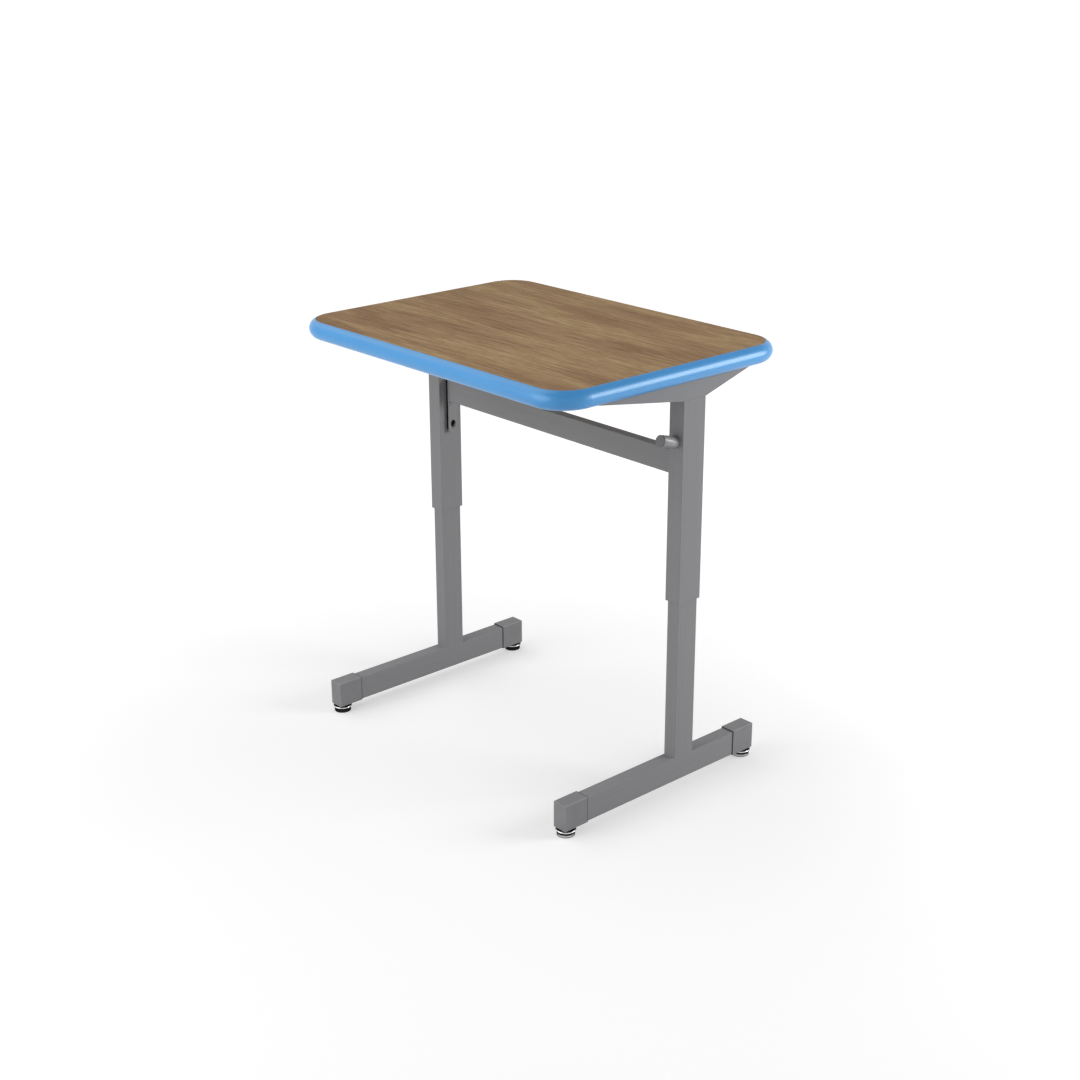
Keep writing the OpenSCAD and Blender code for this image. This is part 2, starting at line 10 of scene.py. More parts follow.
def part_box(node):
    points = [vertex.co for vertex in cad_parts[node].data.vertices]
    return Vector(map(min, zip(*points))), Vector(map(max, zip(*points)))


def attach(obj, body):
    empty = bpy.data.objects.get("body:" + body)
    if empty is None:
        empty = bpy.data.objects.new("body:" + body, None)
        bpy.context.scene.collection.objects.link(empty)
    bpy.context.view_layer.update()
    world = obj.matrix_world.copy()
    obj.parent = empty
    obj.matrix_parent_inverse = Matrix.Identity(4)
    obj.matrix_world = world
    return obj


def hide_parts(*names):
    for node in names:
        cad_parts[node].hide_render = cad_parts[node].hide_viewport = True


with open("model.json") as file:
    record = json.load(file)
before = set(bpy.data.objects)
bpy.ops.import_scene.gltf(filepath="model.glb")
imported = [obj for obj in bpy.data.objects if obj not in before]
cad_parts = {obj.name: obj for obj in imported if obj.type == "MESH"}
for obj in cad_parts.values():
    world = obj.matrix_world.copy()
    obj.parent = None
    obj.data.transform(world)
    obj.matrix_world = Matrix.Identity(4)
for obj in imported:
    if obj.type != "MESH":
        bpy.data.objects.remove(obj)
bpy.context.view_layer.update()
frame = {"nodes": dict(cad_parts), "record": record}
MM = 0.001

SIDES = ("left", "right")
ENDS = ("front", "rear")
AXIS_X, AXIS_Y, AXIS_Z = Vector((1, 0, 0)), Vector((0, 1, 0)), Vector((0, 0, 1))


# Helpers for colours and nodes
def srgb(r, g, b):
    """Linear colour of an 8-bit sRGB triple."""
    linear = []
    for channel in (r, g, b):
        c = channel / 255
        linear.append(c / 12.92 if c <= 0.04045 else ((c + 0.055) / 1.055) ** 2.4)
    return (*linear, 1.0)


def grey(level):
    """Neutral grey of an 8-bit level, a trace cooler than pure grey."""
    return srgb(level, level, level + 2)


def set_range(node, low, high, to_low, to_high):
    """Writes the limits of a Map Range node."""
    limits = {"From Min": low, "From Max": high, "To Min": to_low, "To Max": to_high}
    for name, number in limits.items():
        node.inputs[name].default_value = number


# Sockets of a colour Mix node by number, because several share one name
MIX_SHARE, MIX_A, MIX_B, MIX_RESULT = 0, 6, 7, 2
# Values between which most of a noise pattern lies, for a surface's roughness and for its two tones
NOISE_LOW, NOISE_HIGH = 0.3, 0.7
TONE_LOW, TONE_HIGH = 0.35, 0.65


class Graph:
    """One material's nodes, with a short call for each kind of node used here."""

    def __init__(self, name):
        self.material = bpy.data.materials.new(name)
        self.material.use_nodes = True
        self.tree = self.material.node_tree
        self.tree.nodes.clear()
        self.shader = self.add("ShaderNodeBsdfPrincipled")
        output = self.add("ShaderNodeOutputMaterial")
        self.join(self.shader.outputs[0], output.inputs[0])
        self.place = self.add("ShaderNodeTexCoord").outputs["Object"]

    def add(self, kind, **settings):
        """A new node of a kind, with some settings."""
        node = self.tree.nodes.new(kind)
        for key, value in settings.items():
            setattr(node, key, value)
        return node

    def join(self, source, target):
        """Links one socket to another."""
        self.tree.links.new(source, target)

    def feed(self, target, value):
        """Links a socket to the target, or writes a plain value on it."""
        if isinstance(value, bpy.types.NodeSocket):
            self.join(value, target)
        else:
            target.default_value = value

    def stretched(self, x, y, z, of=None):
        """Coordinates scaled on each axis: a pattern's cells measure about 1/x, 1/y and 1/z metres."""
        node = self.add("ShaderNodeMapping")
        node.inputs["Scale"].default_value = (x, y, z)
        self.join(of or self.place, node.inputs["Vector"])
        return node.outputs[0]

    def pushed_in_x(self, distance):
        """Object coordinates, moved along X by a varying distance in metres."""
        shift = self.add("ShaderNodeCombineXYZ")
        self.feed(shift.inputs["X"], distance)
        total = self.add("ShaderNodeVectorMath", operation="ADD")
        self.join(self.place, total.inputs[0])
        self.join(shift.outputs[0], total.inputs[1])
        return total.outputs[0]

    def height(self):
        """Height in desk coordinates, in metres."""
        parts = self.add("ShaderNodeSeparateXYZ")
        self.join(self.place, parts.inputs[0])
        return parts.outputs["Z"]

    def rounding(self):
        """0 on faces square to an axis, and up to 0.42 where an edge or a corner is rounded."""
        parts = self.add("ShaderNodeSeparateXYZ")
        self.join(self.add("ShaderNodeTexCoord").outputs["Normal"], parts.inputs[0])
        x, y, z = (self.math("ABSOLUTE", parts.outputs[axis]) for axis in "XYZ")
        return self.math("SUBTRACT", 1.0, self.math("MAXIMUM", x, self.math("MAXIMUM", y, z)))

    def noise(self, vector, detail=3.0, roughness=0.5):
        """Noise with cells of one unit of the coordinates."""
        node = self.add("ShaderNodeTexNoise")
        self.join(vector, node.inputs["Vector"])
        node.inputs["Scale"].default_value = 1.0
        node.inputs["Detail"].default_value = detail
        node.inputs["Roughness"].default_value = roughness
        return node.outputs["Fac"]

    def spread(self, value, low, high, to_low=0.0, to_high=1.0):
        """Maps low..high to to_low..to_high, with flat ends."""
        node = self.add("ShaderNodeMapRange")
        self.feed(node.inputs["Value"], value)
        set_range(node, low, high, to_low, to_high)
        return node.outputs[0]

    def varied(self, pattern, least, most):
        """A number that follows a noise pattern from least to most."""
        return self.spread(pattern, NOISE_LOW, NOISE_HIGH, least, most)

    def math(self, operation, a, b=0.0):
        """Result of one Math node."""
        node = self.add("ShaderNodeMath", operation=operation)
        self.feed(node.inputs[0], a)
        self.feed(node.inputs[1], b)
        return node.outputs[0]

    def blend(self, *shares):
        """Sum of (value, share) pairs."""
        total = self.math("MULTIPLY", *shares[0])
        for value, share in shares[1:]:
            total = self.math("ADD", total, self.math("MULTIPLY", value, share))
        return total

    def mix(self, share, a, b):
        """Colour a where the share is 0, and b where it is 1."""
        node = self.add("ShaderNodeMix", data_type="RGBA")
        self.feed(node.inputs[MIX_SHARE], share)
        self.feed(node.inputs[MIX_A], a)
        self.feed(node.inputs[MIX_B], b)
        return node.outputs[MIX_RESULT]

    def ramp(self, share, stops):
        """Colour ramp with stops of (place, colour)."""
        node = self.add("ShaderNodeValToRGB")
        self.join(share, node.inputs[0])
        points = node.color_ramp.elements
        while len(points) < len(stops):
            points.new(0.5)
        for point, (position, colour) in zip(points, stops):
            point.position = position
            point.color = colour
        return node.outputs[0]

    def two_tone(self, pattern, first, second):
        """Colour that follows a noise pattern from the first tone to the second."""
        return self.ramp(pattern, [(TONE_LOW, first), (TONE_HIGH, second)])

    def bump(self, height, distance):
        """Fine relief on the shader's normal, with its depth in metres."""
        node = self.add("ShaderNodeBump")
        self.join(height, node.inputs["Height"])
        node.inputs["Distance"].default_value = distance
        node.inputs["Strength"].default_value = 1.0
        self.join(node.outputs[0], self.shader.inputs["Normal"])

    def set(self, **inputs):
        """Writes or links the shader's inputs, named with _ in place of a space."""
        for name, value in inputs.items():
            self.feed(self.shader.inputs[name.replace("_", " ")], value)


# Materials, one function for each kind of surface
# Greatest shift of a band's torn ends along the grain, in metres
TEAR_REACH = 0.14


def wood_laminate():
    """Wood-grain sheet along X: red-brown bands with torn ends on tan, streaks, fibres and short pores."""
    g = Graph("wood_laminate")
    tears = g.noise(g.stretched(3, 240, 1), detail=3.0, roughness=0.6)
    torn = g.pushed_in_x(g.varied(tears, -TEAR_REACH, TEAR_REACH))
    bands = g.spread(g.noise(g.stretched(5, 20, 1, of=torn), detail=2.0), 0.40, 0.60)
    streaks = g.noise(g.stretched(14, 260, 1), detail=4.0, roughness=0.65)
    fibres = g.noise(g.stretched(55, 700, 1), detail=3.0, roughness=0.62)
    pores = g.noise(g.stretched(110, 1500, 1), detail=1.0)
    lines = g.spread(g.blend((streaks, 0.6), (fibres, 0.4)), 0.41, 0.59)
    dark_bands = g.mix(lines, srgb(137, 104, 76), srgb(166, 134, 99))
    light_bands = g.mix(lines, srgb(158, 128, 90), srgb(194, 164, 124))
    colour = g.mix(bands, dark_bands, light_bands)
    pore_mask = g.spread(pores, 0.62, 0.72, 0.0, 0.35)
    g.set(
        Base_Color=g.mix(pore_mask, colour, srgb(112, 86, 62)),
        Roughness=g.varied(fibres, 0.54, 0.68),
        Specular_IOR_Level=0.05,
    )
    g.bump(g.math("SUBTRACT", fibres, pore_mask), 0.06 * MM)
    return g.material


def particle_board():
    """Pressed chips: patches of three tans with dark flecks."""
    g = Graph("particle_board")
    chips = g.noise(g.stretched(260, 260, 420), detail=3.0, roughness=0.7)
    flecks = g.noise(g.stretched(700, 700, 900), detail=1.0)
    colour = g.ramp(chips, [
        (0.35, srgb(160, 126, 84)),
        (0.5, srgb(196, 164, 118)),
        (0.65, srgb(217, 190, 146)),
    ])
    fleck_mask = g.spread(flecks, 0.62, 0.7, 0.0, 0.5)
    g.set(Base_Color=g.mix(fleck_mask, colour, srgb(112, 84, 54)), Roughness=0.85)
    g.bump(chips, 0.3 * MM)
    return g.material


def backer_sheet():
    """Plain brown balancing sheet with a cloudy, slightly fibrous tone."""
    g = Graph("backer_sheet")
    clouds = g.noise(g.stretched(14, 14, 14), detail=4.0)
    fibres = g.noise(g.stretched(90, 700, 90), detail=2.0)
    tone = g.blend((clouds, 0.6), (fibres, 0.4))
    g.set(
        Base_Color=g.two_tone(tone, srgb(88, 73, 60), srgb(108, 91, 75)),
        Roughness=g.varied(fibres, 0.55, 0.7),
    )
    g.bump(fibres, 0.05 * MM)
    return g.material


# Tint of the blue band's sheen
SKY_TINT = (0.85, 0.98, 1.0, 1.0)


def blue_edge():
    """Satin blue plastic with a faint cloudiness and soft handling scuffs."""
    g = Graph("blue_edge")
    clouds = g.noise(g.stretched(9, 9, 60), detail=3.0)
    scuffs = g.noise(g.stretched(55, 55, 420), detail=4.0, roughness=0.7)
    g.set(
        Base_Color=g.two_tone(clouds, srgb(63, 149, 215), srgb(68, 154, 220)),
        Roughness=g.spread(scuffs, 0.35, 0.7, 0.28, 0.33),
        Specular_IOR_Level=0.68,
        Specular_Tint=SKY_TINT,
    )
    return g.material


def powder_coat(name, draw_cells, gloss):
    """Satin grey coat: fine orange peel over faint draw lines, which are long on the tube's axis."""
    specular, smoothest, roughest = gloss
    g = Graph(name)
    lines = g.noise(g.stretched(*draw_cells), detail=3.0, roughness=0.6)
    peel = g.noise(g.stretched(700, 700, 700), detail=2.0)
    flake = g.noise(g.stretched(2600, 2600, 2600), detail=1.0)
    tone = g.blend((lines, 0.6), (flake, 0.4))
    g.set(
        Base_Color=g.two_tone(tone, grey(140), grey(145)),
        Roughness=g.varied(peel, smoothest, roughest),
        Specular_IOR_Level=specular,
    )
    g.bump(peel, 0.04 * MM)
    return g.material


def moulded_grey(name, edge_level):
    """Moulded grey plastic with a fine grain, and another grey painted on its rounded edges as a highlight
    or as shade.
    """
    g = Graph(name)
    grain = g.noise(g.stretched(1500, 1500, 1500), detail=2.0, roughness=0.6)
    clouds = g.noise(g.stretched(30, 30, 30), detail=2.0)
    # Painted light on the rounded edges: a lighter grey paints a highlight, a darker grey paints shade
    edges = g.spread(g.rounding(), 0.02, 0.15, 0.0, 0.8)
    plain = g.two_tone(clouds, grey(136), grey(141))
    g.set(
        Base_Color=g.mix(edges, plain, grey(edge_level)),
        Roughness=g.varied(grain, 0.38, 0.48),
        Specular_IOR_Level=0.06,
    )
    g.bump(grain, 0.03 * MM)
    return g.material


def zinc_plate():
    """Zinc plating with a cloudy passivated tone."""
    g = Graph("zinc_plate")
    clouds = g.noise(g.stretched(160, 160, 160), detail=4.0)
    g.set(
        Base_Color=g.two_tone(clouds, srgb(176, 176, 172), srgb(205, 207, 210)),
        Metallic=1.0,
        Roughness=g.varied(clouds, 0.28, 0.42),
    )
    g.bump(clouds, 0.02 * MM)
    return g.material


def shade_black_steel():
    """Black steel with slight brown wear; its black is painted shade for the gap beside each bracket plate
    and for the bracket screws' recesses.
    """
    g = Graph("shade_black_steel")
    wear = g.noise(g.stretched(300, 300, 300), detail=4.0)
    g.set(
        Base_Color=g.ramp(wear, [(0.4, srgb(7, 7, 8)), (0.75, srgb(17, 16, 16))]),
        Roughness=g.varied(wear, 0.5, 0.65),
        Specular_IOR_Level=0.04,
    )
    g.bump(wear, 0.03 * MM)
    return g.material


def dark_nylon():
    """Dark grey nylon with a faint moulded grain."""
    g = Graph("dark_nylon")
    grain = g.noise(g.stretched(1200, 1200, 1200), detail=2.0)
    g.set(
        Base_Color=g.two_tone(grain, srgb(44, 44, 46), srgb(56, 56, 58)),
        Roughness=g.varied(grain, 0.45, 0.6),
    )
    g.bump(grain, 0.03 * MM)
    return g.material


# Tint of plated steel at a glancing angle
DARK_RIM = (0.02, 0.02, 0.02, 1.0)
# Depths under a hood's top where the dome's painted shade starts and is full
DOME_PAINTED_SHADE = (2.0 * MM, 1.5 * MM)
# Heights over a hood's lower edge where the rim's painted shade is full and ends
RIM_PAINTED_SHADE = (0.3 * MM, 0.8 * MM)
# Heights over the floor where the painted contact shade on a base is full and ends
FLOOR_CONTACT_SHADE = (0.9 * MM, 1.7 * MM)


def bright_chrome():
    """Bright plating with hair scratches and a faint haze, with painted shade in dark grey on a hood's dome
    and under its rim.
    """
    g = Graph("bright_chrome")
    low, high = (corner[2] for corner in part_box("glide_hood_left_front"))
    haze = g.noise(g.stretched(220, 220, 220), detail=3.0)
    scratches = g.noise(g.stretched(260, 3200, 900), detail=2.0)
    # Painted shade: the hood's dome and the lowest band of its rim turn dark grey
    on_dome = g.spread(g.height(), high - DOME_PAINTED_SHADE[0], high - DOME_PAINTED_SHADE[1])
    under_rim = g.spread(g.height(), low + RIM_PAINTED_SHADE[0], low + RIM_PAINTED_SHADE[1], 1.0, 0.0)
    plated = g.two_tone(haze, grey(212), grey(228))
    g.set(
        Base_Color=g.mix(g.math("MAXIMUM", on_dome, under_rim), plated, grey(56)),
        Metallic=1.0,
        Roughness=g.spread(scratches, 0.45, 0.75, 0.07, 0.18),
        Specular_Tint=DARK_RIM,
    )
    g.bump(scratches, 0.004 * MM)
    return g.material


def painted_reflection_chrome(name, darkest, lightest):
    """Plating of a glide's base between two grey levels that paint its reflections, with a painted ring of
    contact shade where it meets the floor.
    """
    g = Graph(name)
    haze = g.noise(g.stretched(220, 220, 220), detail=3.0)
    # Painted contact shade: a dark ring at the foot of each base, where it meets the floor
    contact_shade = g.spread(g.height(), *FLOOR_CONTACT_SHADE, 1.0, 0.0)
    plated = g.two_tone(haze, grey(darkest), grey(lightest))
    g.set(
        Base_Color=g.mix(contact_shade, plated, grey(22)),
        Metallic=1.0,
        Roughness=g.spread(contact_shade, 0.0, 1.0, 0.12, 0.45),
        Specular_Tint=DARK_RIM,
    )
    g.bump(haze, 0.004 * MM)
    return g.material


def rubber(name, darkest, lightest):
    """Matt rubber between two grey levels, with a dusty bloom."""
    g = Graph(name)
    bloom = g.noise(g.stretched(400, 400, 400), detail=4.0, roughness=0.6)
    g.set(
        Base_Color=g.ramp(bloom, [(0.35, grey(darkest)), (0.7, grey(lightest))]),
        Roughness=g.varied(bloom, 0.7, 0.9),
        Specular_IOR_Level=0.2,
    )
    g.bump(bloom, 0.05 * MM)
    return g.material


# The coat's draw lines run along the legs by default, and along these nodes' own axes.
# Each gloss is a specular level with the least and the most roughness.
DRAW_LONG, DRAW_ACROSS = 3, 260
SATIN_GLOSS = (0.04, 0.42, 0.52)
WORN_GLOSS = (0.50, 0.28, 0.34)
COAT_UPRIGHT = powder_coat("powder_coat_upright", (DRAW_ACROSS, DRAW_ACROSS, DRAW_LONG), SATIN_GLOSS)
COAT_DEEP = powder_coat("powder_coat_deep", (DRAW_ACROSS, DRAW_LONG, DRAW_ACROSS), SATIN_GLOSS)
COAT_WIDE = powder_coat("powder_coat_wide", (DRAW_LONG, DRAW_ACROSS, DRAW_ACROSS), SATIN_GLOSS)
COAT_WORN = powder_coat("powder_coat_worn", (DRAW_ACROSS, DRAW_LONG, DRAW_ACROSS), WORN_GLOSS)
COATS = {"crossbar": COAT_WIDE, "bag_peg": COAT_WORN}
for side in SIDES:
    COATS[f"foot_tube_{side}"] = COAT_DEEP
    COATS[f"support_arm_{side}"] = COAT_DEEP
# Grey levels painted on plastic edges: a painted highlight on the foot caps, and painted shade round the
# peg's plug
EDGE_HIGHLIGHT_LEVEL, RIM_SHADE_LEVEL = 186, 24
MATERIALS = {
    "laminate": wood_laminate(),
    "board": particle_board(),
    "backer": backer_sheet(),
    "edge": blue_edge(),
    "frame": COAT_UPRIGHT,
    "cap": moulded_grey("moulded_grey", EDGE_HIGHLIGHT_LEVEL),
    "fastener": zinc_plate(),
    "black_steel": shade_black_steel(),
    "nylon": dark_nylon(),
    "chrome": bright_chrome(),
    "rubber": rubber("black_rubber", 12, 26),
}
# Painted reflections on the glides' bases: dark on the left foot and bright on the right foot
BASE_LOOKS = {
    "left": painted_reflection_chrome("dark_chrome", 34, 46),
    "right": painted_reflection_chrome("bright_painted_chrome", 168, 188),
}
OWN_LOOKS = {f"glide_base_{side}_{end}": BASE_LOOKS[side] for side in SIDES for end in ENDS}
OWN_LOOKS.update(COATS)
OWN_LOOKS["bag_peg_plug"] = moulded_grey("rim_shaded_grey", RIM_SHADE_LEVEL)
# Painted shade: the foot seals are dark grey rubber rings at the caps' mouths, standing for the shade where
# each cap steps down to its tube
SEAL_SHADE_RUBBER = rubber("seal_shade_rubber", 72, 86)
OWN_LOOKS.update({f"foot_seal_{side}_{end}": SEAL_SHADE_RUBBER for side in SIDES for end in ENDS})


def dress(obj, material):
    """Gives an object one material."""
    obj.data.materials.clear()
    obj.data.materials.append(material)


for part in frame["record"]["subparts"]:
    dress(frame["nodes"][part["node"]], OWN_LOOKS.get(part["node"], MATERIALS[part["material_slot"]]))


# Soft edges on the CAD pieces that are stamped, cut or moulded.
# Points within WELD_GAP become one point, and faces within FLAT_LIMIT of flat become one face.
# Edges that turn by more than BEVEL_LIMIT are rounded.
WELD_GAP = 0.002 * MM
FLAT_LIMIT = radians(0.5)
BEVEL_LIMIT = radians(40)
EDGE_SEGMENTS = 2


def weld_points(obj):
    """Joins points that lie on each other, so that no face is left without area."""
    weld = obj.modifiers.new("weld", "WELD")
    weld.merge_threshold = WELD_GAP


def soften(node, width):
    """Rounds a node's sharp edges by a width in metres."""
    obj = frame["nodes"][node]
    weld_points(obj)
    flat = obj.modifiers.new("flat_faces", "DECIMATE")
    flat.decimate_type = "DISSOLVE"
    flat.angle_limit = FLAT_LIMIT
    bevel = obj.modifiers.new("edges", "BEVEL")
    bevel.width = width
    bevel.segments = EDGE_SEGMENTS
    bevel.limit_method = "ANGLE"
    bevel.angle_limit = BEVEL_LIMIT
    bevel.use_clamp_overlap = False
    bevel.loop_slide = False
    bevel.harden_normals = True


CUT_EDGE = 0.35 * MM
MOULDED_EDGE = 0.5 * MM
SOFT_EDGES = {"bag_peg": CUT_EDGE, "bag_peg_plug": MOULDED_EDGE}
for side in SIDES:
    SOFT_EDGES[f"support_arm_{side}"] = CUT_EDGE
    SOFT_EDGES[f"crossbar_plate_{side}"] = CUT_EDGE
    SOFT_EDGES[f"bracket_block_{side}"] = CUT_EDGE
    SOFT_EDGES[f"upper_leg_{side}"] = CUT_EDGE
    for end in ENDS:
        SOFT_EDGES[f"foot_cap_{side}_{end}"] = MOULDED_EDGE
for node_name, edge_width in SOFT_EDGES.items():
    soften(node_name, edge_width)
# The CAD meshes of the glides' bases have doubled points
for side in SIDES:
    for end in ENDS:
        weld_points(frame["nodes"][f"glide_base_{side}_{end}"])


# Mesh helpers for the pieces that stand for plain CAD screws and stems
SHARP_EDGE = radians(38)


def new_piece(name, verts, faces, slot, body, node=None):
    """Links a closed mesh as a piece on a body, with a slot's material, in place of any node named."""
    mesh = bpy.data.meshes.new(name)
    mesh.from_pydata(verts, [], faces)
    shape = bmesh.new()
    shape.from_mesh(mesh)
    bmesh.ops.recalc_face_normals(shape, faces=shape.faces)
    shape.to_mesh(mesh)
    shape.free()
    mesh.shade_smooth()
    mesh.set_sharp_from_angle(angle=SHARP_EDGE)
    obj = bpy.data.objects.new(name, mesh)
    bpy.context.scene.collection.objects.link(obj)
    dress(obj, MATERIALS[slot])
    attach(obj, body)
    if node:
        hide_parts(node)


def islands(node):
    """Points of each separate solid of a CAD node."""
    shape = bmesh.new()
    shape.from_mesh(frame["nodes"][node].data)
    bmesh.ops.remove_doubles(shape, verts=shape.verts, dist=WELD_GAP)
    shape.verts.ensure_lookup_table()
    found, seen = [], set()
    for start in shape.verts:
        if start.index in seen:
            continue
        seen.add(start.index)
        group = [start]
        for vert in group:
            for edge in vert.link_edges:
                other = edge.other_vert(vert)
                if other.index not in seen:
                    seen.add(other.index)
                    group.append(other)
        found.append([vert.co.copy() for vert in group])
    shape.free()
    return found


class Turned:
    """A closed body of rings about an axis, from one pole to the other."""

    def __init__(self, steps):
        self.steps = steps
        self.verts = []
        self.faces = []

    def body(self, middle, axis, rings, start, stop):
        """Adds rings of (radius, height) between the poles at heights start and stop.

        A radius may be a function of the angle.
        """
        across = axis.orthogonal().normalized()
        beside = axis.cross(across)
        first = len(self.verts)
        self.verts.append(middle + axis * start)
        for radius, height in rings:
            ring_middle = middle + axis * height
            for i in range(self.steps):
                angle = 2 * pi * i / self.steps
                r = radius(angle) if callable(radius) else radius
                self.verts.append(ring_middle + across * (r * cos(angle)) + beside * (r * sin(angle)))
        last = len(self.verts)
        self.verts.append(middle + axis * stop)
        for i in range(self.steps):
            j = (i + 1) % self.steps
            self.faces.append((first, first + 1 + j, first + 1 + i))
            for k in range(len(rings) - 1):
                low = first + 1 + k * self.steps
                high = low + self.steps
                self.faces.append((low + i, low + j, high + j, high + i))
            top = last - self.steps
            self.faces.append((top + i, top + j, last))


# Screws and bolts: a domed head with a drive recess, and a chamfered shank
SCREW_STEPS = 96
DOME_RINGS = 7
# Points beyond this share of the head's radius are on the head's outer side
HEAD_SHARE = 0.98
# The recess narrows to its floor and to a cone, as shares of the drive's radius
RECESS_FLOOR, RECESS_CONE = 0.94, 0.6
# Depths of the cone's end and of its point under the floor, as shares of the head's height
CONE_DEPTH, POINT_DEPTH = 0.1, 0.14
# Least radius of the flat land round the recess, as a share of the drive's reach
LAND_REACH = 1.08
# Chamfer at the shank's tip, as a share of its radius
TIP_CHAMFER = 0.3
# Least sine or cosine that a radius is divided by
LEAST_PART = 1e-6


def hex_drive(across_flats):
    """Radius of a hexagon at an angle."""
    return lambda angle: across_flats / 2 / cos((angle % (pi / 3)) - pi / 6)


def hex_reach(across_flats):
    """Distance from a hexagon's middle to its corners."""
    return across_flats / 2 / cos(pi / 6)


def cross_drive(reach, half_width):
    """Radius at an angle of a cross, from the reach and the half width of its arms."""
    def radius(angle):
        c = max(abs(cos(angle)), LEAST_PART)
        s = max(abs(sin(angle)), LEAST_PART)
        return max(min(reach / c, half_width / s), min(reach / s, half_width / c))
    return radius


def scaled(radius, factor):
    """The same outline, larger or smaller."""
    return lambda angle: radius(angle) * factor


def screw_facts(points, axis):
    """Middle, head radius, shank radius, and heights of end, seat and tip of a CAD screw along an axis."""
    low = Vector([min(p[i] for p in points) for i in range(3)])
    high = Vector([max(p[i] for p in points) for i in range(3)])
    middle = (low + high) / 2
    middle = middle - axis * middle.dot(axis)
    rows = [(p.dot(axis), (p - middle - axis * p.dot(axis)).length) for p in points]
    tip = max(along for along, _ in rows)
    end = min(along for along, _ in rows)
    head = max(radius for _, radius in rows)
    seat = max(along for along, radius in rows if radius > HEAD_SHARE * head)
    shank = max(radius for along, radius in rows if along > (seat + tip) / 2)
    return middle, head, shank, end, seat, tip


def detailed_screws(node, slot, body, axis_of, drive, drive_reach, depth_share, land_share):
    """Replaces each screw of a CAD node by one with a domed head and a drive recess.

    The recess is depth_share of the head's height deep. The flat land round it reaches at least to
    land_share of the head's radius.
    """
    made = Turned(SCREW_STEPS)
    for points in islands(node):
        axis = axis_of(points)
        middle, head, shank, end, seat, tip = screw_facts(points, axis)
        head_height = seat - end
        floor = end + depth_share * head_height
        land = max(drive_reach * LAND_REACH, land_share * head)
        rings = [
            (scaled(drive, RECESS_CONE), floor + CONE_DEPTH * head_height),
            (scaled(drive, RECESS_FLOOR), floor),
            (drive, end),
        ]
        for k in range(DOME_RINGS + 1):
            turn = pi / 2 * k / DOME_RINGS
            rings.append((land + (head - land) * sin(turn), end + head_height * (1 - cos(turn))))
        chamfer = TIP_CHAMFER * shank
        rings += [(shank, seat), (shank, tip - chamfer), (shank - chamfer, tip)]
        made.body(middle, axis, rings, floor + POINT_DEPTH * head_height, tip)
    new_piece(f"{node}_detailed", made.verts, made.faces, slot, body, node)


def upwards(points):
    """Axis of every screw in the top."""
    return AXIS_Z


def forwards(points):
    """Axis of every bolt in the legs."""
    return Vector((0, -1, 0))


def outwards(points):
    """Axis of a bracket screw, from its side of the desk."""
    return Vector((1 if points[0].x > 0 else -1, 0, 0))


TOP_DRIVE, TOP_DRIVE_HALF = 2.6 * MM, 0.55 * MM
LOCK_FLATS = 5 * MM
BRACKET_FLATS = 4 * MM
detailed_screws("top_screws", "fastener", "upper_frame", upwards,
                cross_drive(TOP_DRIVE, TOP_DRIVE_HALF), TOP_DRIVE, depth_share=0.7, land_share=0.62)
for side in SIDES:
    detailed_screws(f"lock_bolts_{side}", "fastener", "upper_frame", forwards,
                    hex_drive(LOCK_FLATS), hex_reach(LOCK_FLATS), depth_share=0.6, land_share=0.5)
detailed_screws("bracket_screws", "black_steel", "upper_frame", outwards,
                hex_drive(BRACKET_FLATS), hex_reach(BRACKET_FLATS), depth_share=0.6, land_share=0.72)


# Glide stems: the nub, then a rolled thread
STEM_STEPS = 40
NUB_RINGS = 8
THREAD_PITCH = 1.25 * MM
THREAD_DEPTH = 0.72 * MM
THREAD_RINGS = 8
# Share of the pitch that each flank, the crest and the root take
FLANK = 0.25


def threaded_stem(side, end):
    """Stands for a plain CAD stem: round nub, plain neck in the hood and a thread above it."""
    node = f"glide_stem_{side}_{end}"
    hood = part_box(f"glide_hood_{side}_{end}")
    points = islands(node)[0]
    low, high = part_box(node)
    middle = Vector(((low[0] + high[0]) / 2, (low[1] + high[1]) / 2, 0))
    hood_low, hood_high = hood[0][2], hood[1][2]

    def reach(part):
        """Largest distance of some points from the stem's axis."""
        return max((Vector((p.x, p.y, 0)) - middle).length for p in part)

    nub = reach([p for p in points if p.z < hood_low - WELD_GAP])
    crest = reach([p for p in points if p.z > hood_high])
    pivot = low[2] + nub
    rings = []
    for k in range(1, NUB_RINGS + 1):
        turn = pi / 2 * (k / NUB_RINGS - 1)
        rings.append((nub * cos(turn), pivot + nub * sin(turn)))
    rings += [(nub, hood_low), (crest, hood_low), (crest, hood_high)]

    def thread_at(height):
        """Outline of the thread at a height, as a radius for each angle."""
        def radius(angle):
            turn = (height / THREAD_PITCH - angle / (2 * pi)) % 1.0
            ridge = min(1.0, max(0.0, (1.5 * FLANK - abs(turn - 0.5)) / FLANK))
            return crest - THREAD_DEPTH * (1 - ridge)
        return radius

    root = crest - THREAD_DEPTH
    first, last = hood_high + THREAD_PITCH / 2, high[2] - THREAD_DEPTH
    count = int((last - first) / THREAD_PITCH * THREAD_RINGS)
    rings.append((root, hood_high))
    for k in range(count + 1):
        height = first + (last - first) * k / count
        rings.append((thread_at(height), height))
    rings += [(root, last + THREAD_DEPTH / 4), (root - THREAD_DEPTH / 2, high[2])]
    made = Turned(STEM_STEPS)
    made.body(middle, AXIS_Z, rings, low[2], high[2])
    new_piece(f"{node}_threaded", made.verts, made.faces, "fastener", f"glide_{side}_{end}", node)


for side in SIDES:
    for end in ENDS:
        threaded_stem(side, end)


